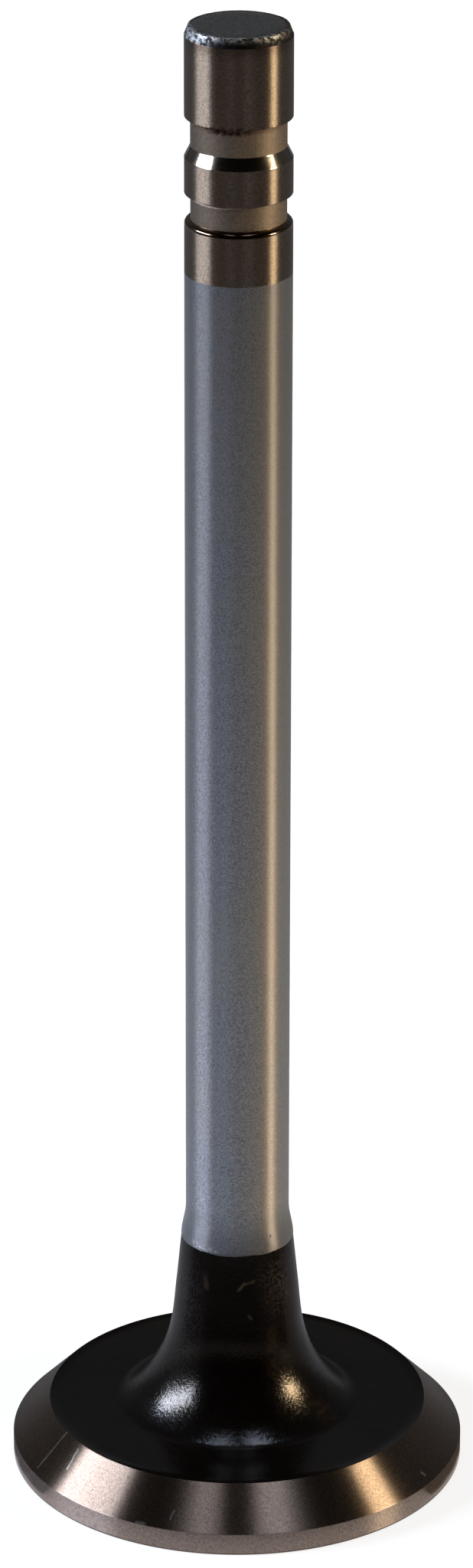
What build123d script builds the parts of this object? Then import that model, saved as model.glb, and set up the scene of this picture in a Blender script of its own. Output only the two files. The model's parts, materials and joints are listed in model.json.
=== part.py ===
from build123d import *

# Engine exhaust valve: one forged and ground piece, turned about Z.
# Origin: centre of the flat combustion face. +Z runs up the stem to the tip. Millimetres.

import os
from math import cos, radians, sin, tan

# Overall
OVERALL_LENGTH = 125.66
HEAD_DIAMETER = 38.1
STEM_DIAMETER = 8.67

# Head: edge break, margin, ground seat cone and the flat back behind it
EDGE_BREAK = 0.2
MARGIN_HEIGHT = 1.95
SEAT_ANGLE = 45.0  # from the plane of the head
SEAT_WIDTH = 3.13  # measured radially

# Neck: a slender cone that sweeps out into the tulip and meets the back in a tight blend
NECK_TOP_HEIGHT = 20.96
NECK_TOP_DIAMETER = 9.38
NECK_HALF_ANGLE = 5.7
TULIP_RADIUS = 12.2
TULIP_END_ANGLE = 49.0  # from the axis, where the sweep hands over to the blend
BACK_BLEND_RADIUS = 1.2

# Run-out of the grinding wheel, where the stem's ground size ends above the neck
RUN_OUT_LENGTH = 1.84

# Tip end, from the tip down: chamfer, tip land, keeper groove, middle land, ring groove
TIP_CHAMFER_WIDTH = 0.28
TIP_CHAMFER_LENGTH = 0.72
TIP_LAND_LENGTH = 7.41
KEEPER_GROOVE_WIDTH = 3.33
KEEPER_GROOVE_DEPTH = 0.49
KEEPER_FLANK_ANGLE = 26.6  # from the axis, on the side that faces the tip
MIDDLE_LAND_LENGTH = 2.89
RING_GROOVE_WIDTH = 2.58
RING_GROOVE_DEPTH = 0.5
RING_SHOULDER_RADIUS = 0.42

# Derived radii and heights
head_radius = HEAD_DIAMETER / 2
stem_radius = STEM_DIAMETER / 2
seat_inner_radius = head_radius - SEAT_WIDTH
back_height = MARGIN_HEIGHT + SEAT_WIDTH * tan(radians(SEAT_ANGLE))
run_out_top = NECK_TOP_HEIGHT + RUN_OUT_LENGTH
keeper_groove_top = OVERALL_LENGTH - TIP_LAND_LENGTH
keeper_groove_bottom = keeper_groove_top - KEEPER_GROOVE_WIDTH
ring_groove_top = keeper_groove_bottom - MIDDLE_LAND_LENGTH
ring_groove_bottom = ring_groove_top - RING_GROOVE_WIDTH
cutter_radius = STEM_DIAMETER  # groove cutters reach in from well outside the stem


def along(angle):
    """Unit direction in the outline's plane that leans outwards by angle from straight down."""
    return Vector(sin(radians(angle)), -cos(radians(angle)))


def arc_chord(radius, start_angle, end_angle):
    """Step from the start to the end of an arc whose tangent turns between two angles."""
    across = cos(radians(start_angle)) - cos(radians(end_angle))
    down = sin(radians(end_angle)) - sin(radians(start_angle))
    return Vector(radius * across, -radius * down)


def neck_outline():
    """Lines and arcs from the neck's top to the inner edge of the ground seat cone.

    The two arcs have fixed sizes, so the cone above them takes up what is left of the height
    and the flat back beyond them takes up what is left of the radius.
    """
    top = Vector(NECK_TOP_DIAMETER / 2, NECK_TOP_HEIGHT)
    sweep = arc_chord(TULIP_RADIUS, NECK_HALF_ANGLE, TULIP_END_ANGLE)
    blend = arc_chord(BACK_BLEND_RADIUS, TULIP_END_ANGLE, 90)
    cone_height = top.Y - back_height + sweep.Y + blend.Y
    cone_end = top + along(NECK_HALF_ANGLE) * (cone_height / cos(radians(NECK_HALF_ANGLE)))
    cone = Line(top, cone_end)
    tulip = JernArc(cone_end, along(NECK_HALF_ANGLE), TULIP_RADIUS, TULIP_END_ANGLE - NECK_HALF_ANGLE)
    corner = JernArc(tulip @ 1, along(TULIP_END_ANGLE), BACK_BLEND_RADIUS, 90 - TULIP_END_ANGLE)
    back = Line(corner @ 1, (seat_inner_radius, back_height))
    return [cone, tulip, corner, back]


def head_outline():
    """Ground seat cone, margin, broken lower edge and the flat combustion face."""
    seat = Line((seat_inner_radius, back_height), (head_radius, MARGIN_HEIGHT))
    margin = Line((head_radius, MARGIN_HEIGHT), (head_radius, EDGE_BREAK))
    edge = RadiusArc((head_radius, EDGE_BREAK), (head_radius - EDGE_BREAK, 0), EDGE_BREAK)
    face = Line((head_radius - EDGE_BREAK, 0), (0, 0))
    return [seat, margin, edge, face]


def stem_outline():
    """Axis, tip face, tip chamfer, ground stem and the run-out down to the neck's top."""
    return Polyline(
        (0, 0),
        (0, OVERALL_LENGTH),
        (stem_radius - TIP_CHAMFER_WIDTH, OVERALL_LENGTH),
        (stem_radius, OVERALL_LENGTH - TIP_CHAMFER_LENGTH),
        (stem_radius, run_out_top),
        (NECK_TOP_DIAMETER / 2, NECK_TOP_HEIGHT),
    )


def blank():
    """The valve before its grooves are cut."""
    outline = Wire([*stem_outline().edges(), *neck_outline(), *head_outline()])
    return revolve(Plane.XZ * Face(outline), Axis.Z)


def keeper_groove():
    """Ring of metal cut out for the two split keepers: square at the top, conical below."""
    floor_radius = stem_radius - KEEPER_GROOVE_DEPTH
    flank_height = KEEPER_GROOVE_DEPTH / tan(radians(KEEPER_FLANK_ANGLE))
    section = Polyline(
        (floor_radius, keeper_groove_top),
        (cutter_radius, keeper_groove_top),
        (cutter_radius, keeper_groove_bottom),
        (stem_radius, keeper_groove_bottom),
        (floor_radius, keeper_groove_bottom + flank_height),
        close=True,
    )
    return revolve(Plane.XZ * make_face(section), Axis.Z)


def ring_groove():
    """Ring of metal cut out for the oil seal ring: square at the top, rounded over below."""
    floor_radius = stem_radius - RING_GROOVE_DEPTH
    shoulder_foot = (stem_radius - RING_SHOULDER_RADIUS, ring_groove_bottom + RING_SHOULDER_RADIUS)
    shoulder = RadiusArc((stem_radius, ring_groove_bottom), shoulder_foot, -RING_SHOULDER_RADIUS)
    rest = Polyline(
        shoulder_foot,
        (floor_radius, shoulder_foot[1]),
        (floor_radius, ring_groove_top),
        (cutter_radius, ring_groove_top),
        (cutter_radius, ring_groove_bottom),
        (stem_radius, ring_groove_bottom),
    )
    return revolve(Plane.XZ * Face(Wire([shoulder, *rest.edges()])), Axis.Z)


valve = blank() - keeper_groove() - ring_groove()

os.makedirs("parts", exist_ok=True)
export_step(valve, "parts/valve.step")
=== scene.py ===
import json
import math
from typing import NamedTuple

import bpy
from mathutils import Matrix, Vector


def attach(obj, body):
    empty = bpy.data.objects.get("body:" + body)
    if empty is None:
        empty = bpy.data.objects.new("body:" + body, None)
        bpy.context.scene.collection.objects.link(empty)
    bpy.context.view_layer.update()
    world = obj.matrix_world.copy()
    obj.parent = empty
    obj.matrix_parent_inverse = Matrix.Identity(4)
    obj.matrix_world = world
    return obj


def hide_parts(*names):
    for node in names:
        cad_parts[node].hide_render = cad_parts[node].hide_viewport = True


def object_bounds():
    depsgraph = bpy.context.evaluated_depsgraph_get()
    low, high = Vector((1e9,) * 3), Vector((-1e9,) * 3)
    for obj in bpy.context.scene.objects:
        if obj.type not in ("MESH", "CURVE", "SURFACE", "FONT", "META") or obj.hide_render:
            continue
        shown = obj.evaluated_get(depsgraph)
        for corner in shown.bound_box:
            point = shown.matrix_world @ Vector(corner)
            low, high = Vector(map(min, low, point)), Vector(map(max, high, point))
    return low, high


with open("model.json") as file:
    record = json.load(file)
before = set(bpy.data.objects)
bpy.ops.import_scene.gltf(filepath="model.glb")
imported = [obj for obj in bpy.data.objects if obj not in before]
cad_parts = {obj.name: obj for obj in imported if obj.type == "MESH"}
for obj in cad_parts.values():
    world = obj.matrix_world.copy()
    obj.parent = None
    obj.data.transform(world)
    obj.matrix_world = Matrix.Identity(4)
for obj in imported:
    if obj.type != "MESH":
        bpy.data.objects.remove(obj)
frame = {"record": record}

bl_info = {
    "name": "Engine valve",
    "version": (1, 0, 0),
    "blender": (4, 5, 0),
    "location": "3D View > Sidebar > Valve",
    "description": "Turns an engine valve from its outline, gives it its finishes and sets a small studio",
    "category": "Object",
}

MM = 0.001
CAD_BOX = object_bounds()
MOUNTS = {mount["name"]: mount for mount in frame["record"]["mounts"]}


def mount_radius(name):
    """Radius of a round mount, in metres."""
    return MOUNTS[name]["dims"]["r_mm"] * MM


def mount_end(name, side):
    """Height of a mount's upper (side 1) or lower (side -1) end, in metres."""
    return MOUNTS[name]["pos_m"][2] + side * MOUNTS[name]["dims"]["length_mm"] * MM / 2


# ---------------------------------------------------------------------------
# Settings that a user would change
# ---------------------------------------------------------------------------


def linear(hex_value):
    """Linear RGBA of an sRGB hex colour such as "7d706a"."""
    channels = [int(hex_value[i : i + 2], 16) / 255 for i in (0, 2, 4)]
    return [c / 12.92 if c <= 0.04045 else ((c + 0.055) / 1.055) ** 2.4 for c in channels] + [1.0]


def length(label, description, default):
    """A length setting, in metres."""
    return bpy.props.FloatProperty(
        name=label, description=description, default=default, min=0, unit="LENGTH", precision=5
    )


def angle(label, description, degrees):
    """An angle setting, with its default in degrees."""
    return bpy.props.FloatProperty(
        name=label, description=description, default=math.radians(degrees), subtype="ANGLE"
    )


def amount(label, description, default):
    """A plain number setting."""
    return bpy.props.FloatProperty(name=label, description=description, default=default, min=0)


def colour(label, description, hex_value):
    """A colour setting, with its default as an sRGB hex value."""
    return bpy.props.FloatVectorProperty(
        name=label,
        description=description,
        default=linear(hex_value),
        size=4,
        subtype="COLOR",
        min=0,
        max=1,
    )


class ValveShape(bpy.types.PropertyGroup):
    """Sizes of the valve. What the frame holds comes from there."""

    overall_length: length("Overall length", "From the combustion face to the tip", CAD_BOX[1].z)
    head_radius: length("Head radius", "Radius at the margin", min(-CAD_BOX[0].x, CAD_BOX[1].x))
    stem_radius: length("Stem radius", "Radius of the ground stem", mount_radius("stem"))
    chamfer_width: length("Tip chamfer width", "Radial width of the tip chamfer", 0.28 * MM)
    chamfer_length: length("Tip chamfer length", "Length of the tip chamfer", 0.72 * MM)
    torn_rim: length("Torn rim", "How far the torn band reaches onto the tip's face", 0.35 * MM)
    keeper_top: length("Keeper groove top", "Height of its square shoulder", mount_end("keeper_groove", 1))
    keeper_foot: length("Keeper groove foot", "Foot of its conical flank", mount_end("keeper_groove", -1))
    keeper_floor: length("Keeper groove floor", "Radius of its floor", mount_radius("keeper_groove"))
    flank_angle: angle("Flank angle", "Keeper groove flank, from the axis", 26.6)
    ring_top: length("Ring groove top", "Height of its square shoulder", mount_end("ring_groove", 1))
    ring_foot: length("Ring groove foot", "Height of its rounded shoulder", mount_end("ring_groove", -1))
    ring_floor: length("Ring groove floor", "Radius of its floor", mount_radius("ring_groove"))
    ring_shoulder: length("Ring shoulder", "Radius of its rounded shoulder", 0.42 * MM)
    plating_top: length("Plating top", "Height where the satin plating starts", 105.5 * MM)
    run_out_top: length("Run-out top", "Height where the ground stem ends", mount_end("stem", -1))
    neck_top: length("Neck top", "Height where the plating ends and the scale starts", 20.96 * MM)
    neck_radius: length("Neck radius", "Radius of the neck at its top", 4.69 * MM)
    neck_angle: angle("Neck angle", "Half angle of the neck's cone", 5.7)
    plating_overlap: length("Plating overlap", "How far the plating reaches down the neck", 0.45 * MM)
    tulip_radius: length("Tulip radius", "Radius of the sweep under the head", 12.2 * MM)
    tulip_angle: angle("Tulip angle", "Slope where the sweep tightens", 40)
    tight_radius: length("Tight radius", "Radius of the sweep's lower part", 9 * MM)
    tight_angle: angle("Tight end angle", "Slope where the lower part meets its blend", 52)
    blend_radius: length("Blend radius", "Radius between the sweep and the flat back", 1 * MM)
    back_height: length("Back height", "Height of the flat back", mount_end("valve_seat_cone", 1))
    margin_height: length("Margin height", "Height of the margin", mount_end("valve_seat_cone", -1))
    seat_angle: angle("Valve seat angle", "Ground cone, from the plane of the head", 45)
    edge_break: length("Edge break", "Radius at the margin's lower edge", 0.2 * MM)
    steps_around: bpy.props.IntProperty(
        name="Steps around", description="Faces round the valve", default=320, min=24
    )


class ValveFinish(bpy.types.PropertyGroup):
    """Main colours of the valve's finishes. Their marks have colours of their own."""

    tip_face: colour("Tip face", "Ground and oiled face of the tip", "767776")
    torn_steel: colour("Torn steel", "Dark crust on the chamfer of the tip", "35322f")
    ground_steel: colour("Ground steel", "Bare ground steel of the lands", "786b5d")
    groove_steel: colour("Groove steel", "Satin steel in the grooves", "887968")
    polished_steel: colour("Polished steel", "Polished flank and shoulder of the grooves", "968c80")
    plating: colour("Plating", "Satin plating of the stem", "828488")
    scale: colour("Heat scale", "Black-brown scale of the neck", "050302")
    ground_cone: colour("Ground cone", "Ground steel of the valve's cone", "7b6c60")
    margin: colour("Margin", "Turned steel of the margin", "85776f")
    burnt_face: colour("Combustion face", "Turned and heat-tinted face of the head", "5b4f47")


class ValveStage(bpy.types.PropertyGroup):
    """Studio settings."""

    floor_radius: length("Floor radius", "Radius of the round pale floor", 30)
    floor_colour: colour("Floor colour", "Colour of the floor", "929292")
    floor_glow: amount("Floor glow", "Brightness added to the floor near the valve", 0.78)
    far_floor_glow: amount("Far floor glow", "Brightness added to the floor far from the valve", 1)
    front_room: amount("Front room", "Brightness of the room on the camera's side", 0.005)
    back_room: amount("Back room", "Brightness of the room behind the valve", 0.1)
    lamp_distance: length("Lamp distance", "From the valve to the side lamps", 2.4)
    cool_light: colour("Cool light", "Colour of the left lamp", "e2ebff")
    warm_light: colour("Warm light", "Colour of the right lamp", "ffebc7")


# ---------------------------------------------------------------------------
# Outline
# ---------------------------------------------------------------------------

EDGE = 0.04 * MM  # radius that a deburred edge keeps
WORN_EDGE = 0.06 * MM
TIP_EDGE = 0.3 * MM  # radius at the chamfer's foot
RUN_OUT_EASE = 6 * MM  # radius at the top of the grinding run-out
SUPPORT = 0.06 * MM  # a row this close to each bend keeps the flat faces flat
ARC_STEP = math.radians(22)
LONGEST_ARC_STEP = 0.4 * MM
FEWEST_ARC_STEPS = 2
SMALLEST_TURN = 0.001  # radians: a corner that turns less stays as it is
SAME_PLACE = 1e-7


class Corner(NamedTuple):
    """A corner of the half outline, rounded to a bend, and the straight run that follows it."""

    radius: float
    height: float
    finish: str
    bend: float = EDGE
    step: float = 4 * MM  # longest face along the run
    bend_finish: str = ""  # the run's finish where this is empty
    wander: float = 0.0  # how far the border of the finish strays along the valve


class Row(NamedTuple):
    """One ring of the turned mesh and the band of faces below it."""

    radius: float
    height: float
    finish: str


def downwards(lean):
    """Direction in the outline's plane that leans outwards from straight down."""
    return Vector((math.sin(lean), -math.cos(lean)))


def tulip_corners(shape):
    """The corners that the sweep's two arcs and its blend into the flat back are rounded from."""
    slopes = (shape.neck_angle, shape.tulip_angle, shape.tight_angle, math.pi / 2)
    radii = (shape.tulip_radius, shape.tight_radius, shape.blend_radius)
    reaches = [radii[i] * math.tan((slopes[i + 1] - slopes[i]) / 2) for i in range(3)]
    steps = [downwards(slopes[i]) * (reaches[i - 1] + reaches[i]) for i in (1, 2)]
    lean = downwards(shape.neck_angle)
    drop = shape.neck_top + steps[0].y + steps[1].y - shape.back_height
    sweep = Vector((shape.neck_radius, shape.neck_top)) + lean * (drop / -lean.y)
    return sweep, sweep + steps[0], sweep + steps[0] + steps[1]


def outline(shape):
    """The half outline, from the middle of the tip down to the middle of the combustion face."""
    stem, top, head = shape.stem_radius, shape.overall_length, shape.head_radius
    chamfer_top = Vector((stem - shape.chamfer_width, top))
    chamfer_foot = (stem, top - shape.chamfer_length)
    flank_top = shape.keeper_foot + (stem - shape.keeper_floor) / math.tan(shape.flank_angle)
    round_foot = shape.ring_foot + shape.ring_shoulder
    sweep, tight, blend = tulip_corners(shape)
    neck = (shape.neck_radius, shape.neck_top)
    overlap = downwards(shape.neck_angle) * shape.plating_overlap
    scale_top = (shape.neck_radius + overlap.x, shape.neck_top + overlap.y)
    seat_width = (shape.back_height - shape.margin_height) / math.tan(shape.seat_angle)
    return [
        Corner(0, top, "tip_face", 0, step=1 * MM),
        Corner(chamfer_top.x - shape.torn_rim, top, "torn_chamfer", 0, step=0.05 * MM),
        Corner(*chamfer_top, "torn_chamfer", EDGE, step=0.05 * MM),
        Corner(*chamfer_foot, "ground_steel", TIP_EDGE, step=1 * MM, bend_finish="torn_chamfer"),
        Corner(stem, shape.keeper_top, "ground_steel", WORN_EDGE, step=0.2 * MM),
        Corner(shape.keeper_floor, shape.keeper_top, "groove_steel", EDGE, step=0.5 * MM),
        Corner(shape.keeper_floor, flank_top, "polished_steel", EDGE, step=0.3 * MM),
        Corner(stem, shape.keeper_foot, "ground_steel", EDGE, step=1 * MM, bend_finish="polished_steel"),
        Corner(stem, shape.ring_top, "ground_steel", WORN_EDGE, step=0.2 * MM),
        Corner(shape.ring_floor, shape.ring_top, "groove_steel", EDGE, step=0.5 * MM),
        Corner(shape.ring_floor, round_foot, "polished_steel", EDGE, step=0.2 * MM),
        Corner(stem, round_foot, "ground_steel", shape.ring_shoulder, 1 * MM, "polished_steel"),
        Corner(stem, shape.plating_top, "satin_plating", 0, step=1.25 * MM, wander=0.12 * MM),
        Corner(stem, shape.run_out_top, "satin_plating", RUN_OUT_EASE, step=0.4 * MM),
        Corner(*neck, "satin_plating", EDGE, step=0.2 * MM),
        Corner(*scale_top, "heat_scale", 0, step=0.4 * MM, wander=0.25 * MM),
        Corner(*sweep, "heat_scale", shape.tulip_radius, step=0.4 * MM),
        Corner(*tight, "heat_scale", shape.tight_radius, step=0.4 * MM),
        Corner(*blend, "heat_scale", shape.blend_radius, step=1 * MM),
        Corner(head - seat_width, shape.back_height, "ground_cone", EDGE, step=0.5 * MM),
        Corner(head, shape.margin_height, "turned_margin", WORN_EDGE, step=0.3 * MM),
        Corner(head, 0, "combustion_face", shape.edge_break, step=2 * MM),
        Corner(0, 0, "combustion_face", 0),
    ]


def run_rows(start, end, corner):
    """Rows along a straight run, with one close to each end."""
    run = end - start
    if run.length < SAME_PLACE:
        return []
    support = min(SUPPORT, run.length / 4)
    between = run.length - 2 * support
    steps = max(1, math.ceil(between / corner.step))
    spots = [0] + [support + between * i / steps for i in range(steps + 1)]
    return [Row(*(start + run * (spot / run.length)), corner.finish) for spot in spots]


def bend_rows(before, here, after, corner):
    """The bend at a corner: where it starts, its rows, and where it ends."""
    arriving, leaving = (here - before).normalized(), (after - here).normalized()
    turn = arriving.angle_signed(leaving)
    if corner.bend == 0 or abs(turn) < SMALLEST_TURN:
        return here, [], here
    reach = corner.bend * math.tan(abs(turn) / 2)
    start = here - arriving * reach
    centre = start + Vector((arriving.y, -arriving.x)) * math.copysign(corner.bend, turn)
    arc = corner.bend * abs(turn)
    steps = math.ceil(max(FEWEST_ARC_STEPS, abs(turn) / ARC_STEP, arc / LONGEST_ARC_STEP))
    points = [centre + Matrix.Rotation(-turn * i / steps, 2) @ (start - centre) for i in range(steps)]
    rows = [Row(*point, corner.bend_finish or corner.finish) for point in points]
    return start, rows, here + leaving * reach


def outline_rows(shape):
    """Every ring of the turned mesh, from the tip's middle to the combustion face's middle."""
    turned = outline(shape)
    places = [Vector((corner.radius, corner.height)) for corner in turned]
    rows, leaving = [], places[0]
    for i in range(1, len(turned) - 1):
        start, bend, end = bend_rows(*places[i - 1 : i + 2], turned[i])
        rows += run_rows(leaving, start, turned[i - 1]) + bend
        leaving = end
    rows += run_rows(leaving, places[-1], turned[-2])
    return rows + [Row(*places[-1], turned[-1].finish)]


# ---------------------------------------------------------------------------
# Nodes
# ---------------------------------------------------------------------------


def node(tree, kind, inputs=None, **settings):
    """Adds a node with its settings, and sets or links its inputs, which go by name or number."""
    made = tree.nodes.new(kind)
    for name, value in settings.items():
        setattr(made, name, value)
    for name, value in (inputs or {}).items():
        if isinstance(value, bpy.types.NodeSocket):
            tree.links.new(value, made.inputs[name])
        else:
            made.inputs[name].default_value = value
    return made


# ---------------------------------------------------------------------------
# Turned body
# ---------------------------------------------------------------------------

# Size of the lumps of each kind of unevenness. Straying moves the borders of finishes along the valve.
UNEVENNESS = {"torn": 0.7 * MM, "forged": 5 * MM, "worn": 2.2 * MM, "stray": 1.5 * MM}
# How far each kind sinks each finish at most.
DENT_DEPTH = {
    "torn": {"torn_chamfer": 0.08 * MM},
    "forged": {"heat_scale": 0.1 * MM},
    "worn": {"ground_steel": 0.025 * MM, "satin_plating": 0.025 * MM},
    "stray": {},
}
LUMP_SEED = 3.0
STRAY_REACH = 1 * MM  # rows this near to a straying border move with it
MERGE_DISTANCE = 1e-7


def lathe_tree():
    """A Geometry Nodes tree that turns a row of points into a closed, uneven body with its finishes."""
    tree = bpy.data.node_groups.new("Turned body", "GeometryNodeTree")
    kinds = {"Outline": "Geometry", "Steps around": "Int", "Seed": "Float"}
    kinds.update({name: "Float" for name in UNEVENNESS})
    kinds.update({name: "Material" for name in FINISHES})
    for name, kind in kinds.items():
        tree.interface.new_socket(name, in_out="INPUT", socket_type="NodeSocket" + kind)
    tree.interface.new_socket("Body", in_out="OUTPUT", socket_type="NodeSocketGeometry")
    given = node(tree, "NodeGroupInput").outputs
    rings = turned_rings(tree, given)
    smooth = node(tree, "GeometryNodeSetShadeSmooth", {"Geometry": rings}).outputs[0]
    body = node(tree, "GeometryNodeRealizeInstances", {"Geometry": smooth}).outputs[0]
    label = node(tree, "GeometryNodeInputNamedAttribute", {"Name": "finish"}, data_type="INT").outputs[0]
    for number, name in enumerate(FINISHES):
        pair = {2: label, 3: number}
        chosen = node(tree, "FunctionNodeCompare", pair, data_type="INT", operation="EQUAL")
        painted = {"Geometry": body, "Selection": chosen.outputs[0], "Material": given[name]}
        body = node(tree, "GeometryNodeSetMaterial", painted).outputs[0]
    node(tree, "NodeGroupOutput", {0: body})
    return tree


def column_turn(tree, index, rows, steps_around):
    """How far round Z a point of the sheet is turned: the sheet's points run column by column."""
    share = node(tree, "ShaderNodeMath", {0: index, 1: rows}, operation="DIVIDE").outputs[0]
    column = node(tree, "ShaderNodeMath", {0: share}, operation="FLOOR").outputs[0]
    turns = node(tree, "ShaderNodeMath", {0: column, 1: steps_around}, operation="DIVIDE").outputs[0]
    return node(tree, "ShaderNodeMath", {0: turns, 1: math.tau}, operation="MULTIPLY").outputs[0]


def uneven_place(tree, given, row, turn):
    """The outline's point at this row, turned round Z and moved by each kind of lump."""

    def spun(value):
        """A vector of the outline at this row, turned to this column."""
        sample = {"Geometry": given["Outline"], "Value": value, "Index": row}
        vector = node(tree, "GeometryNodeSampleIndex", sample, data_type="FLOAT_VECTOR").outputs[0]
        turned = {"Vector": vector, "Angle": turn}
        return node(tree, "ShaderNodeVectorRotate", turned, rotation_type="Z_AXIS").outputs[0]

    even = spun(node(tree, "GeometryNodeInputPosition").outputs[0])
    place = even
    for name in UNEVENNESS:
        scale = node(tree, "ShaderNodeMath", {0: 1.0, 1: given[name]}, operation="DIVIDE").outputs[0]
        lumps = {"Vector": even, "W": given["Seed"], "Scale": scale}
        lump = node(tree, "ShaderNodeTexNoise", lumps, noise_dimensions="4D").outputs[0]
        reach = node(tree, "GeometryNodeInputNamedAttribute", {"Name": name}, data_type="FLOAT_VECTOR")
        move = {0: spun(reach.outputs[0]), "Scale": lump}
        moved = node(tree, "ShaderNodeVectorMath", move, operation="SCALE").outputs[0]
        place = node(tree, "ShaderNodeVectorMath", {0: place, 1: moved}).outputs[0]
    return place


def turned_rings(tree, given):
    """The outline's points swept round Z into one closed shell, with each face's finish."""
    outline_now = given["Outline"]
    rows = node(tree, "GeometryNodeAttributeDomainSize", {"Geometry": outline_now}).outputs["Point Count"]
    bands = node(tree, "ShaderNodeMath", {0: rows, 1: 1.0}, operation="SUBTRACT").outputs[0]
    columns = node(tree, "ShaderNodeMath", {0: given["Steps around"], 1: 1.0}).outputs[0]
    sheet = node(tree, "GeometryNodeMeshGrid", {"Vertices X": columns, "Vertices Y": rows}).outputs[0]
    index = node(tree, "GeometryNodeInputIndex").outputs[0]
    row = node(tree, "ShaderNodeMath", {0: index, 1: rows}, operation="MODULO").outputs[0]
    band = node(tree, "ShaderNodeMath", {0: index, 1: bands}, operation="MODULO").outputs[0]
    turn = column_turn(tree, index, rows, given["Steps around"])
    place = uneven_place(tree, given, row, turn)
    finish = node(tree, "GeometryNodeInputNamedAttribute", {"Name": "finish"}, data_type="INT").outputs[0]
    sample = {"Geometry": outline_now, "Value": finish, "Index": band}
    finish = node(tree, "GeometryNodeSampleIndex", sample, data_type="INT").outputs[0]
    kept = {"Geometry": sheet, "Name": "finish", "Value": finish}
    labelled = node(tree, "GeometryNodeStoreNamedAttribute", kept, data_type="INT", domain="FACE")
    moved = {"Geometry": labelled.outputs[0], "Position": place}
    swept = node(tree, "GeometryNodeSetPosition", moved).outputs[0]
    closed = {"Geometry": swept, "Distance": MERGE_DISTANCE}
    return node(tree, "GeometryNodeMergeByDistance", closed).outputs[0]


def outline_mesh(shape):
    """The outline's points, with the finish of the band below each and how far each may move."""
    rows = outline_rows(shape)
    points = [Vector((row.radius, 0, row.height)) for row in rows]
    mesh = bpy.data.meshes.new("outline")
    mesh.from_pydata(points, [(i, i + 1) for i in range(len(points) - 1)], [])
    names = list(FINISHES)
    numbers = [names.index(row.finish) for row in rows]
    mesh.attributes.new("finish", "INT", "POINT").data.foreach_set("value", numbers)
    moves = {name: [] for name in UNEVENNESS}
    for i, row in enumerate(rows):
        along = points[min(i + 1, len(rows) - 1)] - points[max(i - 1, 0)]
        inwards = Vector((along.z, 0, -along.x)).normalized()
        for name in UNEVENNESS:
            moves[name].append(inwards * DENT_DEPTH[name].get(row.finish, 0))
        moves["stray"][-1] = Vector((0, 0, -1)) * stray(row.height, shape)
    for name, vectors in moves.items():
        flat = [number for vector in vectors for number in vector]
        mesh.attributes.new(name, "FLOAT_VECTOR", "POINT").data.foreach_set("vector", flat)
    return mesh


def stray(height, shape):
    """How far a row at this height strays with the border nearest to it."""
    borders = [corner for corner in outline(shape) if corner.wander]
    return max(max(0, 1 - abs(height - corner.height) / STRAY_REACH) * corner.wander for corner in borders)


def turned_body(name, shape, materials):
    """The valve's body as a plain mesh, made by the lathe tree."""
    body = bpy.data.objects.new(name, outline_mesh(shape))
    tree = lathe_tree()
    modifier = body.modifiers.new("Turned body", "NODES")
    modifier.node_group = tree
    values = {"Steps around": shape.steps_around, "Seed": LUMP_SEED, **UNEVENNESS, **materials}
    sockets = [item for item in tree.interface.items_tree if item.in_out == "INPUT"]
    for socket in sockets:
        if socket.name in values:
            modifier[socket.identifier] = values[socket.name]
    bpy.context.scene.collection.objects.link(body)
    graph = bpy.context.evaluated_depsgraph_get()
    mesh = bpy.data.meshes.new_from_object(body.evaluated_get(graph), depsgraph=graph)
    body.modifiers.remove(modifier)
    body.data = mesh
    mesh.name = name
    return body


# ---------------------------------------------------------------------------
# Patterns, all in millimetres
# ---------------------------------------------------------------------------

RAG_SIZE, RAG_REACH = 0.4, 0.2  # size of the bays in a ragged edge, and their depth
NOISE_LOW, NOISE_HIGH = 0.3, 0.7  # most of a noise's values lie between these
GRAIN_ROUGHNESS = 0.6  # share of a grain that its next finer one adds


class Spot(NamedTuple):
    """Sockets that say where a point of the surface is."""

    place: bpy.types.NodeSocket
    ragged: bpy.types.NodeSocket  # the place pushed about a little, for marks with ragged edges
    around: bpy.types.NodeSocket  # unit vector from the axis
    height: bpy.types.NodeSocket
    run: bpy.types.NodeSocket  # falls steadily along the outline, from the tip down to the margin


def spot(tree):
    """Where a point of the surface is."""
    metres = node(tree, "ShaderNodeTexCoord").outputs["Object"]
    place = node(tree, "ShaderNodeVectorMath", {0: metres, "Scale": 1 / MM}, operation="SCALE").outputs[0]
    flat = node(tree, "ShaderNodeVectorMath", {0: place, 1: (1, 1, 0)}, operation="MULTIPLY").outputs[0]
    around = node(tree, "ShaderNodeVectorMath", {0: flat}, operation="NORMALIZE").outputs[0]
    radius = node(tree, "ShaderNodeVectorMath", {0: flat}, operation="LENGTH").outputs["Value"]
    height = node(tree, "ShaderNodeSeparateXYZ", {0: place}).outputs["Z"]
    run = node(tree, "ShaderNodeMath", {0: height, 1: radius}, operation="SUBTRACT").outputs[0]
    push = node(tree, "ShaderNodeTexNoise", {"Vector": place, "Scale": 1 / RAG_SIZE}).outputs["Color"]
    push = {0: push, 1: (RAG_REACH,) * 3, 2: (-RAG_REACH / 2,) * 3}
    push = node(tree, "ShaderNodeVectorMath", push, operation="MULTIPLY_ADD").outputs[0]
    ragged = node(tree, "ShaderNodeVectorMath", {0: place, 1: push}).outputs[0]
    return Spot(place, ragged, around, height, run)


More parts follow.
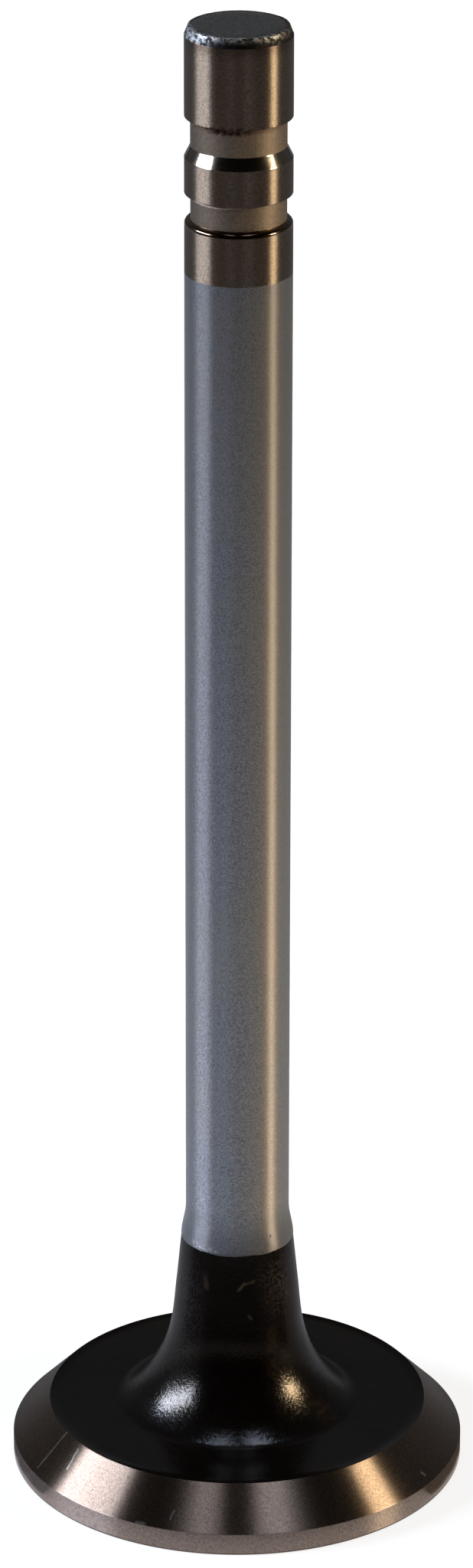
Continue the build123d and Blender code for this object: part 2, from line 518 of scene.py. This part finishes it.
def grain(tree, here, radius, around, along, detail=2.0, seed=0.0):
    """Noise whose grains are that long around the valve at that radius, and along its outline."""
    turned = {0: here.around, "Scale": radius / around}
    turned = node(tree, "ShaderNodeVectorMath", turned, operation="SCALE").outputs[0]
    run = node(tree, "ShaderNodeMath", {0: here.run, 1: 1 / along}, operation="MULTIPLY").outputs[0]
    lift = node(tree, "ShaderNodeCombineXYZ", {"X": seed, "Y": seed, "Z": run}).outputs[0]
    vector = node(tree, "ShaderNodeVectorMath", {0: turned, 1: lift}).outputs[0]
    noise = {"Vector": vector, "Scale": 1.0, "Detail": detail, "Roughness": GRAIN_ROUGHNESS}
    return node(tree, "ShaderNodeTexNoise", noise).outputs[0]


def blotches(tree, here, radius, size, least, strength=1.0, seed=0.0, soft=0.12):
    """A mask of patches about that big, where a noise is above its least value."""
    noise = grain(tree, here, radius, size, size, detail=3, seed=seed)
    limits = {"Value": noise, "From Min": least, "From Max": least + soft, "To Max": strength}
    return node(tree, "ShaderNodeMapRange", limits, interpolation_type="SMOOTHSTEP").outputs[0]


def at(azimuth, radius, height):
    """A place on the valve, in millimetres. The azimuth goes from the front to the right, in degrees."""
    turn = math.radians(azimuth)
    return Vector((radius * math.sin(turn), -radius * math.cos(turn), height))


def scratch(tree, here, start, end, width, strength=1.0):
    """A mask along a straight mark, which fades out at that width to each side."""
    run = end - start
    reach = node(tree, "ShaderNodeVectorMath", {0: here.ragged, 1: start}, operation="SUBTRACT").outputs[0]
    share = {0: reach, 1: run / run.length_squared}
    share = node(tree, "ShaderNodeVectorMath", share, operation="DOT_PRODUCT").outputs["Value"]
    share = node(tree, "ShaderNodeClamp", {0: share}).outputs[0]
    nearest = node(tree, "ShaderNodeVectorMath", {0: run, "Scale": share}, operation="SCALE").outputs[0]
    off = node(tree, "ShaderNodeVectorMath", {0: reach, 1: nearest}, operation="DISTANCE").outputs["Value"]
    limits = {"Value": off, "From Min": width, "From Max": 0.0, "To Max": strength}
    return node(tree, "ShaderNodeMapRange", limits, interpolation_type="SMOOTHSTEP").outputs[0]


def ring_mark(tree, here, height, reach, azimuth=0, spread=180, strength=1.0):
    """A mask of a ragged ring at that height, strongest towards one azimuth."""
    high = node(tree, "ShaderNodeSeparateXYZ", {0: here.ragged}).outputs["Z"]
    off = node(tree, "ShaderNodeMath", {0: high, 1: height}, operation="SUBTRACT").outputs[0]
    off = node(tree, "ShaderNodeMath", {0: off}, operation="ABSOLUTE").outputs[0]
    facing = {0: here.around, 1: at(azimuth, 1, 0)}
    facing = node(tree, "ShaderNodeVectorMath", facing, operation="DOT_PRODUCT").outputs["Value"]
    limits = {"Value": facing, "From Min": math.cos(math.radians(spread)), "To Max": strength}
    facing = node(tree, "ShaderNodeMapRange", limits, interpolation_type="SMOOTHSTEP").outputs[0]
    limits = {"Value": off, "From Min": reach, "From Max": 0.0, "To Max": facing}
    return node(tree, "ShaderNodeMapRange", limits, interpolation_type="SMOOTHSTEP").outputs[0]


def layered(tree, colour, *layers):
    """A colour with others over it, each through its mask."""
    for over, mask in layers:
        mixed = {0: mask, 6: colour, 7: linear(over)}
        colour = node(tree, "ShaderNodeMix", mixed, data_type="RGBA").outputs[2]
    return colour


def shades(tree, colour, noise, spread):
    """A colour whose brightness goes down and up with a noise, by that share at most."""
    limits = {"Value": noise, "From Min": NOISE_LOW, "From Max": NOISE_HIGH}
    limits.update({"To Min": 1 - spread, "To Max": 1 + spread})
    share = node(tree, "ShaderNodeMapRange", limits).outputs[0]
    scaled = {0: colour if isinstance(colour, bpy.types.NodeSocket) else colour[:3], "Scale": share}
    return node(tree, "ShaderNodeVectorMath", scaled, operation="SCALE").outputs[0]


# ---------------------------------------------------------------------------
# Finishes
# ---------------------------------------------------------------------------

# Grinding and turning leave marks that are a few hundredths of a millimetre apart, too fine to show.
# The grains of the ground, cut and plated finishes are drawn 0.12 to 0.2 mm apart instead. The radius
# that a grain or a blotch is given is about that of the surface that it covers.

BRUSHED_ROUND = 0.25  # of a turn: lays the brushing round the valve
SHADED_FROM, SHADED_TO = 25.0, 105.0  # millimetres: between these heights the plating's colour is painted darker upwards, as painted light and shade
LOWER_PLATING, UPPER_PLATING = 1.66, 0.68  # its brightness below and above them
WHOLE_STEM = (60, 200)  # millimetres: middle and reach of the painted shade and highlight that run the whole length of the stem


def new_material(name):
    """An empty node material and its tree."""
    material = bpy.data.materials.new(name)
    material.use_nodes = True
    material.node_tree.nodes.clear()
    return material, material.node_tree


def new_finish(name):
    """An empty node material, its tree and where its points are."""
    material, tree = new_material(name)
    return material, tree, spot(tree)


def surfaced(tree, colour, texture, roughness, depth, brushed=0.0, **constants):
    """The shader. A texture drives its roughness and a relief that deep, in millimetres.

    Brushing draws highlights out into streaks down the valve.
    """
    limits = {"Value": texture, "From Min": NOISE_LOW, "From Max": NOISE_HIGH}
    limits.update({"To Min": roughness[0], "To Max": roughness[1]})
    rough = node(tree, "ShaderNodeMapRange", limits).outputs[0]
    relief = node(tree, "ShaderNodeBump", {"Height": texture, "Distance": depth * MM}).outputs[0]
    inputs = {"Base Color": colour, "Roughness": rough, "Normal": relief}
    inputs.update({name.replace("_", " "): value for name, value in constants.items()})
    if brushed:
        tangent = node(tree, "ShaderNodeTangent", direction_type="RADIAL", axis="Z").outputs[0]
        inputs.update({"Anisotropic": brushed, "Anisotropic Rotation": BRUSHED_ROUND, "Tangent": tangent})
    shader = node(tree, "ShaderNodeBsdfPrincipled", inputs).outputs[0]
    node(tree, "ShaderNodeOutputMaterial", {"Surface": shader})


def tip_face(scene):
    """Ground and oiled steel: a dark satin face with a fine even grain."""
    material, tree, here = new_finish("ground_oiled_steel")
    grain_size = 0.15
    fine = node(tree, "ShaderNodeTexNoise", {"Vector": here.place, "Scale": 1 / grain_size}).outputs[0]
    colour = shades(tree, scene.valve_finish.tip_face, fine, 0.25)
    surfaced(tree, colour, fine, (0.35, 0.5), 0.01, Metallic=1.0)
    return material


def torn_chamfer(scene):
    """Torn turned steel: pale broken bits on a dark crust. Bluish bits on the left are a painted highlight; a
    black band below at the front and a dark patch on the right are painted shade.
    """
    material, tree, here = new_finish("torn_turned_steel")
    tip = scene.valve_shape.overall_length / MM
    bits = blotches(tree, here, 4.2, 0.4, 0.4, soft=0.18)
    colour = shades(tree, scene.valve_finish.torn_steel, bits, 0.2)
    colour = layered(
        tree,
        colour,
        ("9c9894", ring_mark(tree, here, tip - 0.16, 1.5, -10, 110, bits)),
        # bluish bits on the left side: a painted highlight
        ("9ca2a8", ring_mark(tree, here, tip - 0.21, 0.9, -62, 50, bits)),
        # black band at the front and dark patch on the right: painted shade
        ("050403", ring_mark(tree, here, tip - 0.66, 0.7, -5, 55)),
        ("050403", ring_mark(tree, here, tip - 0.66, 0.7, 10, 65)),
        ("1a1512", ring_mark(tree, here, tip - 0.71, 0.5, 70, 70)),
    )
    surfaced(tree, colour, bits, (0.6, 0.45), 0.012, Metallic=0.6, Specular_IOR_Level=0.2)
    return material


def polished_steel(scene):
    """Burnished steel: mirror-like, with clear reflections of the lamps. The round shoulder is browned, and
    painted darker at its front as painted shade.
    """
    material, tree, here = new_finish("burnished_steel")
    shoulder = scene.valve_shape.ring_foot / MM + 0.44
    fine = grain(tree, here, 4.2, 0.6, 0.15)
    colour = shades(tree, scene.valve_finish.polished_steel, fine, 0.15)
    colour = layered(
        tree,
        colour,
        ("57402f", ring_mark(tree, here, shoulder, 0.9)),
        # darker front of the shoulder: painted shade
        ("23170e", ring_mark(tree, here, shoulder, 0.9, 3, 45, 0.8)),
    )
    surfaced(tree, colour, fine, (0.12, 0.14), 0.0001, Metallic=1.0)
    return material


def ground_steel(scene):
    """Ground steel browned by oil: clear streaks of light, dark pits, and rust over the keeper groove."""
    material, tree, here = new_finish("ground_steel")
    tip = scene.valve_shape.overall_length / MM
    rusted_edge = scene.valve_shape.keeper_top / MM - 0.065
    fine = grain(tree, here, 4.3, 0.16, 0.12, detail=3)
    clots = blotches(tree, here, 4.3, 0.35, 0.45, seed=1)
    colour = shades(tree, scene.valve_finish.ground_steel, fine, 0.4)
    colour = layered(
        tree,
        colour,
        ("2c1c12", ring_mark(tree, here, tip - 0.76, 1.2, strength=0.5)),
        ("1c120c", blotches(tree, here, 4.3, 0.2, 0.68, 0.6, seed=5)),
        ("4a2414", ring_mark(tree, here, rusted_edge, 0.3, strength=clots)),
        ("1d0e07", ring_mark(tree, here, rusted_edge, 0.5, -14, 35, clots)),
        ("b9aa99", scratch(tree, here, at(-30, 4.335, 114.05), at(-24, 4.335, 113.75), 0.05, 0.6)),
    )
    haze = {"Coat_Weight": 0.15, "Coat_Roughness": 0.5}
    surfaced(tree, colour, fine, (0.34, 0.43), 0.001, 1.0, Metallic=1.0, **haze)
    return material


def groove_steel(scene):
    """Satin steel left by a cutter: painted shade on its left side, rust and painted shade under the upper
    groove's shoulder, a pale burr under the lower's.
    """
    material, tree, here = new_finish("satin_cut_steel")
    rust = scene.valve_shape.keeper_top / MM - 0.315
    burr = scene.valve_shape.ring_top / MM - 0.25
    fine = grain(tree, here, 3.8, 0.16, 0.14, detail=3)
    clots = blotches(tree, here, 3.8, 0.35, 0.42, seed=3)
    colour = shades(tree, scene.valve_finish.groove_steel, fine, 0.3)
    colour = layered(
        tree,
        colour,
        # darker left side of both grooves: painted shade
        ("302a25", ring_mark(tree, here, 114, 30, -55, 60, 0.6)),
        # reddish-brown band under the upper shoulder: partly rust, partly painted shade under the overhang
        ("4a2c1a", ring_mark(tree, here, rust, 0.3, 0, 90, 0.5)),
        ("241008", ring_mark(tree, here, rust, 0.45, -14, 35, clots)),
        ("c8bcae", ring_mark(tree, here, burr, 0.13, -35, 50, 0.9)),
    )
    surfaced(tree, colour, fine, (0.45, 0.65), 0.003, 0.5, Metallic=0.8)
    return material


def satin_plating(scene):
    """Hard plating on a ground stem: a mottled blue-grey satin with a few pits, its colour painted paler
    towards the head and darker towards its top as painted light and shade.

    Painted shade runs down its left and right sides and a painted highlight down its right front, painted
    glints lie at the left of its lower border, and it is darkened where it ends at the neck.
    """
    material, tree, here = new_finish("satin_hard_plating")
    neck_top = scene.valve_shape.neck_top / MM
    mottle = grain(tree, here, 4.3, 0.14, 0.14, detail=3)
    bits = blotches(tree, here, 4.7, 0.25, 0.45, 0.6, seed=12, soft=0.3)
    colour = shades(tree, scene.valve_finish.plating, mottle, 0.5)
    colour = layered(
        tree,
        colour,
        ("928b7c", blotches(tree, here, 4.3, 20, 0.45, 0.2, seed=9)),
        # painted shade down the left and right sides, and a painted highlight at the right front
        ("353433", ring_mark(tree, here, *WHOLE_STEM, -50, 40, 0.57)),
        ("6f7684", ring_mark(tree, here, *WHOLE_STEM, 75, 42, 0.5)),
        ("8a7869", ring_mark(tree, here, *WHOLE_STEM, 40, 18, 0.5)),
        ("3a3a3c", ring_mark(tree, here, neck_top + 0.04, 3.5, strength=0.7)),
        ("2a2018", blotches(tree, here, 4.3, 0.12, 0.76, 0.6, seed=7)),
        # bright specks at the left of the lower border, where the left lamp's highlight falls: painted glints
        ("b4b2b0", ring_mark(tree, here, neck_top - 0.21, 0.4, -38, 28, bits)),
        ("150e0a", scratch(tree, here, at(38, 4.5, 21.85), at(38, 4.5, 21.75), 0.14)),
    )
    # the colour painted paler towards the head and darker towards the top: painted light and shade by height
    limits = {"Value": here.height, "From Min": SHADED_FROM, "From Max": SHADED_TO}
    limits.update({"To Min": LOWER_PLATING, "To Max": UPPER_PLATING})
    height_shade = node(tree, "ShaderNodeMapRange", limits).outputs[0]
    colour = node(tree, "ShaderNodeVectorMath", {0: colour, "Scale": height_shade}, operation="SCALE").outputs[0]
    haze = {"Coat_Weight": 0.6, "Coat_Roughness": 0.6}
    surfaced(tree, colour, mottle, (0.36, 0.5), 0.0004, 0.95, Metallic=0.45, **haze)
    return material


def heat_scale(scene):
    """Black-brown scale from the forge and the heat: glossy, pebbled and nearly black.

    Grey specks on its sides that face the lamps are painted light. Brown scuffs and blotches lie on its front
    and right, and its reflection is tinted golden at the right and paler near the foot of the sweep as
    painted highlights.
    """
    material, tree, here = new_finish("forge_scale")
    back = scene.valve_shape.back_height / MM
    blotch = grain(tree, here, 8, 2, 2, detail=4)
    fine = grain(tree, here, 8, 0.3, 0.4, detail=3, seed=4)
    scuffs = blotches(tree, here, 5, 0.28, 0.38, 0.75, seed=6, soft=0.35)
    brown = blotches(tree, here, 6, 1.2, 0.35, 0.7, seed=8, soft=0.3)
    side_light_specks = blotches(tree, here, 6, 0.22, 0.25, 0.32, seed=11, soft=0.5)
    colour = shades(tree, scene.valve_finish.scale, blotch, 0.4)
    colour = layered(
        tree,
        colour,
        # grey specks on the sides that face the lamps: painted light
        ("4a4644", ring_mark(tree, here, 15, 9, -70, 45, side_light_specks)),
        ("3a302a", ring_mark(tree, here, 15, 9, 60, 45, side_light_specks)),
        ("453a36", scratch(tree, here, at(42, 5.1, 18.2), at(46, 5.2, 16.6), 2.8, scuffs)),
        ("5c5044", scratch(tree, here, at(1, 5.04, 17.4), at(7, 5, 17.95), 0.2, 0.45)),
        ("4e443a", scratch(tree, here, at(7, 5, 17.95), at(17, 5, 18.1), 0.22, 0.45)),
        ("332b25", scratch(tree, here, at(-33, 5, 18.2), at(-31, 5, 17.4), 0.4, 0.5)),
        ("5a4c44", scratch(tree, here, at(11, 5.29, 15.1), at(13, 5.3, 14.8), 0.2, 0.35)),
        ("2a201a", scratch(tree, here, at(33, 5.45, 13.3), at(30, 6.23, 10.1), 0.9, brown)),
        ("241a12", scratch(tree, here, at(45, 7.4, 8.0), at(56, 9, 6.0), 1.8, brown)),
        ("c8c0b4", blotches(tree, here, 12, 0.25, 0.76, 0.8, seed=2)),
    )
    # the reflection's tint: painted golden where the warm lamp's highlight falls, and paler near the foot of
    # the sweep where the overhead lamps' highlights fall: painted highlights
    film = ("d5c0aa", scratch(tree, here, at(32, 5.5, 12), at(48, 9, 6.5), 3.0))
    foot = ("f6faff", ring_mark(tree, here, back + 0.535, 1.2))
    tint = layered(tree, linear("d5cfc6"), film, foot)
    gloss = {"Specular_IOR_Level": 0.36, "Specular_Tint": tint}
    surfaced(tree, colour, fine, (0.14, 0.2), 0.022, **gloss)
    return material


def ground_cone(scene):
    """Ground steel of the sealing cone: sharp streaks of light across it, and a few scratches and nicks."""
    material, tree, here = new_finish("ground_cone_steel")
    streaks = grain(tree, here, 17.5, 0.15, 0.2, detail=3)
    scratches = (
        scratch(tree, here, at(-64, 15.92, 5.08), at(-64, 18.68, 2.32), 0.16, 0.8),
        scratch(tree, here, at(-55, 16.3, 4.7), at(-54, 17.6, 3.4), 0.14, 0.7),
        scratch(tree, here, at(-17, 17.9, 3.1), at(-17.5, 18.4, 2.6), 0.12, 0.6),
        scratch(tree, here, at(-26, 19, 2), at(-24, 19, 2), 0.3, 1.0),
        scratch(tree, here, at(58, 18.3, 2.7), at(58.5, 18.5, 2.5), 0.2, 0.8),
    )
    colour = shades(tree, scene.valve_finish.ground_cone, streaks, 0.4)
    colour = layered(tree, colour, *(("fff6ec", mask) for mask in scratches))
    surfaced(tree, colour, streaks, (0.28, 0.3), 0.0008, 1.0, Metallic=1.0)
    return material


def turned_margin(scene):
    """Fine-turned steel with a dry pinkish film: an even matte band."""
    material, tree, here = new_finish("turned_margin_steel")
    fine = grain(tree, here, 19, 0.2, 0.2)
    colour = shades(tree, scene.valve_finish.margin, fine, 0.3)
    surfaced(tree, colour, fine, (0.3, 0.34), 0.001, 1.0, Metallic=0.75)
    return material


def combustion_face(scene):
    """Faced and heat-tinted steel: fine rings with brown deposits."""
    material, tree, here = new_finish("faced_heat_tinted_steel")
    rings = grain(tree, here, 1, 50, 0.2)
    colour = shades(tree, scene.valve_finish.burnt_face, rings, 0.15)
    colour = layered(tree, colour, ("33261f", blotches(tree, here, 10, 6, 0.4, 0.6, seed=2, soft=0.35)))
    surfaced(tree, colour, rings, (0.4, 0.5), 0.01, Metallic=1.0)
    return material


FINISHES = {
    "tip_face": tip_face,
    "torn_chamfer": torn_chamfer,
    "ground_steel": ground_steel,
    "groove_steel": groove_steel,
    "polished_steel": polished_steel,
    "satin_plating": satin_plating,
    "heat_scale": heat_scale,
    "ground_cone": ground_cone,
    "turned_margin": turned_margin,
    "combustion_face": combustion_face,
}


# ---------------------------------------------------------------------------
# Stage
# ---------------------------------------------------------------------------

FLOOR_GAP = 0.02 * MM  # keeps the floor clear of the combustion face
FLOOR_STEPS = 96
GLOW_RISES_FROM, GLOW_RISES_TO = 0.5, 2.0  # metres from the valve
ROOM_FRONT, ROOM_BACK = -0.6, 0.9  # how far back a direction points where each brightness is reached

LENS, SENSOR_WIDTH = 154, 36  # millimetres
LENS_SHIFT = (-0.0009, 0.0025)  # shares of the sensor's width
CAMERA_PLACE = (0, -0.5061, 0.2739)
CAMERA_TILT, CAMERA_ROLL = math.radians(67.179), math.radians(0.081)

CLOTH_LIFT = 0.5 * MM  # above the combustion face
CLOTH_STEPS = 24
FLOOR_EDGE = math.inf  # a cloth that reaches this far ends with the floor


class Lamp(NamedTuple):
    """A lit rectangle. Its centre and its size are in lamp distances."""

    name: str
    centre: tuple
    size: tuple  # across, and along the upright direction
    facing: tuple
    upright: tuple
    radiance: float
    tint: str  # the stage setting that holds its colour


class Cloth(NamedTuple):
    """A sheet on the floor round the valve, between two directions and two distances."""

    name: str
    start: float  # degrees from the front to the right
    end: float
    near: float  # metres from the axis
    far: float
    colour: str


LAMPS = (
    Lamp("cool_lamp", (-1, -0.11, 0.5), (0.68, 0.18), (1, 0, 0), (0, 0.1, 1), 56, "cool_light"),
    Lamp("warm_lamp", (1, -0.2, 0.385), (0.25, 0.15), (-1, 0, 0), (0, 0.1, 1), 78, "warm_light"),
    Lamp("overhead_left", (-0.185, -0.2, 1), (0.17, 0.44), (0, 0, -1), (0, 1, 0), 4.5, "cool_light"),
    Lamp("overhead_right", (0.215, -0.2, 1), (0.21, 0.44), (0, 0, -1), (0, 1, 0), 5.5, "cool_light"),
)

CLOTHS = (
    Cloth("black_cloth", -98, 89, 0.022, 0.045, "1c1a19"),
    Cloth("side_black_cloth", -98, -68, 0.045, 0.11, "1c1a19"),
    Cloth("right_black_cloth", 72, 89, 0.045, 0.11, "1c1a19"),
    Cloth("near_front_cloth", -68, 72, 0.045, 0.11, "63605d"),
    Cloth("front_cloth", -68, 72, 0.11, 0.2, "d8d5d2"),
    Cloth("far_front_cloth", -98, 72, 0.2, FLOOR_EDGE, "594231"),
    Cloth("bounce_board", 72, 89, 0.11, 0.6, "e8e4de"),
    Cloth("near_grey_cloth", 60, 300, 0.0192, 0.0225, "4c4a49"),
    Cloth("grey_cloth", 89, 262, 0.0225, FLOOR_EDGE, "8c8c8c"),
)


def floor_disc(stage):
    """A flat round sheet that faces up, just below the valve."""
    turns = [math.tau * i / FLOOR_STEPS for i in range(FLOOR_STEPS)]
    radius = stage.floor_radius
    corners = [(radius * math.cos(turn), radius * math.sin(turn), -FLOOR_GAP) for turn in turns]
    mesh = bpy.data.meshes.new("floor")
    mesh.from_pydata(corners, [], [range(FLOOR_STEPS)])
    mesh.materials.append(floor_paint(stage))
    floor = bpy.data.objects.new("floor", mesh)
    bpy.context.scene.collection.objects.link(floor)


def floor_paint(stage):
    """White paper. It shows as bright to the camera and in the metal, and keeps the valve's shadow."""
    material, tree = new_material("white_paper")
    shade = node(tree, "ShaderNodeBsdfDiffuse", {"Color": stage.floor_colour}).outputs[0]
    ray = node(tree, "ShaderNodeLightPath").outputs
    seen = node(tree, "ShaderNodeMath", {0: ray["Is Camera Ray"], 1: ray["Is Glossy Ray"]}).outputs[0]
    seen = node(tree, "ShaderNodeMath", {0: seen, 1: ray["Is Transmission Ray"]}).outputs[0]
    place = node(tree, "ShaderNodeTexCoord").outputs["Object"]
    away = node(tree, "ShaderNodeVectorMath", {0: place}, operation="LENGTH").outputs["Value"]
    limits = {"Value": away, "From Min": GLOW_RISES_FROM, "From Max": GLOW_RISES_TO}
    limits.update({"To Min": stage.floor_glow, "To Max": stage.far_floor_glow})
    level = node(tree, "ShaderNodeMapRange", limits).outputs[0]
    glow = node(tree, "ShaderNodeMath", {0: seen, 1: level}, operation="MULTIPLY").outputs[0]
    light = node(tree, "ShaderNodeEmission", {"Strength": glow}).outputs[0]
    both = node(tree, "ShaderNodeAddShader", {0: shade, 1: light}).outputs[0]
    node(tree, "ShaderNodeOutputMaterial", {"Surface": both})
    return material


def softbox(lamp, stage):
    """The lamp in the scene. The camera doesn't see it, and metal does."""
    across, upright = [share * stage.lamp_distance for share in lamp.size]
    light = bpy.data.lights.new(lamp.name, "AREA")
    light.shape = "RECTANGLE"
    light.size, light.size_y = across, upright
    light.energy = lamp.radiance * math.pi * across * upright
    light.color = getattr(stage, lamp.tint)[:3]
    back = -Vector(lamp.facing).normalized()
    up = Vector(lamp.upright).normalized()
    turn = Matrix((up.cross(back), up, back)).transposed()
    centre = [share * stage.lamp_distance for share in lamp.centre]
    box = bpy.data.objects.new(lamp.name, light)
    box.matrix_world = Matrix.Translation(centre) @ turn.to_4x4()
    box.visible_camera = False
    bpy.context.scene.collection.objects.link(box)


def room_light(stage):
    """A dim grey room, darker on the camera's side."""
    world = bpy.data.worlds.new("room")
    world.use_nodes = True
    tree = world.node_tree
    tree.nodes.clear()
    way = node(tree, "ShaderNodeTexCoord").outputs["Generated"]
    depth = node(tree, "ShaderNodeSeparateXYZ", {0: way}).outputs["Y"]
    limits = {"Value": depth, "From Min": ROOM_FRONT, "From Max": ROOM_BACK}
    limits.update({"To Min": stage.front_room, "To Max": stage.back_room})
    glow = node(tree, "ShaderNodeMapRange", limits, interpolation_type="SMOOTHSTEP").outputs[0]
    light = node(tree, "ShaderNodeBackground", {"Color": linear("f8f8fa"), "Strength": glow}).outputs[0]
    node(tree, "ShaderNodeOutputWorld", {"Surface": light})
    bpy.context.scene.world = world


def lay_cloth(cloth, stage):
    """The cloth in the scene. Only reflections show it: the camera doesn't, and it casts no shadow."""
    steps = range(CLOTH_STEPS + 1)
    turns = [math.radians(cloth.start + (cloth.end - cloth.start) * i / CLOTH_STEPS) for i in steps]
    inner = [(cloth.near * math.sin(turn), -cloth.near * math.cos(turn), CLOTH_LIFT) for turn in turns]
    far = min(cloth.far, stage.floor_radius)
    outer = [(far * math.sin(turn), -far * math.cos(turn), CLOTH_LIFT) for turn in turns]
    count = len(turns)
    faces = [(i, i + count, i + count + 1, i + 1) for i in range(CLOTH_STEPS)]
    mesh = bpy.data.meshes.new(cloth.name)
    mesh.from_pydata(inner + outer, [], faces)
    mesh.materials.append(plain_cloth(cloth))
    sheet = bpy.data.objects.new(cloth.name, mesh)
    sheet.visible_camera = False
    sheet.visible_diffuse = False
    sheet.visible_shadow = False
    bpy.context.scene.collection.objects.link(sheet)


def plain_cloth(cloth):
    """Matte felt or board: one even shade that takes no highlight."""
    material, tree = new_material(cloth.name)
    shade = node(tree, "ShaderNodeBsdfDiffuse", {"Color": linear(cloth.colour)}).outputs[0]
    node(tree, "ShaderNodeOutputMaterial", {"Surface": shade})
    return material


def add_camera():
    """A long lens that looks down at the valve."""
    lens = bpy.data.cameras.new("camera")
    lens.lens = LENS
    lens.sensor_width = SENSOR_WIDTH
    lens.shift_x, lens.shift_y = LENS_SHIFT
    camera = bpy.data.objects.new("camera", lens)
    tilt = Matrix.Rotation(CAMERA_TILT, 4, "X")
    roll = Matrix.Rotation(CAMERA_ROLL, 4, "Z")
    camera.matrix_world = Matrix.Translation(CAMERA_PLACE) @ tilt @ roll
    bpy.context.scene.collection.objects.link(camera)
    bpy.context.scene.camera = camera


# ---------------------------------------------------------------------------
# Operators, panel and registration
# ---------------------------------------------------------------------------


class VALVE_OT_turn_body(bpy.types.Operator):
    """Turn the valve from its outline, give it its finishes and put it in the frame"""

    bl_idname = "valve.turn_body"
    bl_label = "Turn body"

    def execute(self, context):
        materials = {name: make(context.scene) for name, make in FINISHES.items()}
        body = turned_body("valve_body", context.scene.valve_shape, materials)
        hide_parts("valve")
        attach(body, "root")
        return {"FINISHED"}


class VALVE_OT_set_stage(bpy.types.Operator):
    """Set the floor, the lamps, the room and the camera"""

    bl_idname = "valve.set_stage"
    bl_label = "Set stage"

    def execute(self, context):
        stage = context.scene.valve_stage
        floor_disc(stage)
        for lamp in LAMPS:
            softbox(lamp, stage)
        for cloth in CLOTHS:
            lay_cloth(cloth, stage)
        room_light(stage)
        add_camera()
        context.scene.view_settings.view_transform = "Standard"
        return {"FINISHED"}


class VALVE_PT_panel(bpy.types.Panel):
    """Sidebar panel with the valve's settings and steps"""

    bl_label = "Valve"
    bl_idname = "VALVE_PT_panel"
    bl_space_type = "VIEW_3D"
    bl_region_type = "UI"
    bl_category = "Valve"

    def draw(self, context):
        for group, step in STEPS:
            settings = getattr(context.scene, group)
            for name in settings.bl_rna.properties.keys():
                if name not in ("rna_type", "name"):
                    self.layout.prop(settings, name)
            if step:
                self.layout.operator(step)


STEPS = (("valve_shape", ""), ("valve_finish", "valve.turn_body"), ("valve_stage", "valve.set_stage"))
GROUPS = {"valve_shape": ValveShape, "valve_finish": ValveFinish, "valve_stage": ValveStage}
CLASSES = (*GROUPS.values(), VALVE_OT_turn_body, VALVE_OT_set_stage, VALVE_PT_panel)


def register():
    for item in CLASSES:
        bpy.utils.register_class(item)
    for name, group in GROUPS.items():
        setattr(bpy.types.Scene, name, bpy.props.PointerProperty(type=group))


def unregister():
    for name in GROUPS:
        delattr(bpy.types.Scene, name)
    for item in reversed(CLASSES):
        bpy.utils.unregister_class(item)


def main():
    register()
    bpy.ops.valve.turn_body()
    bpy.ops.valve.set_stage()


if __name__ == "__main__":
    main()
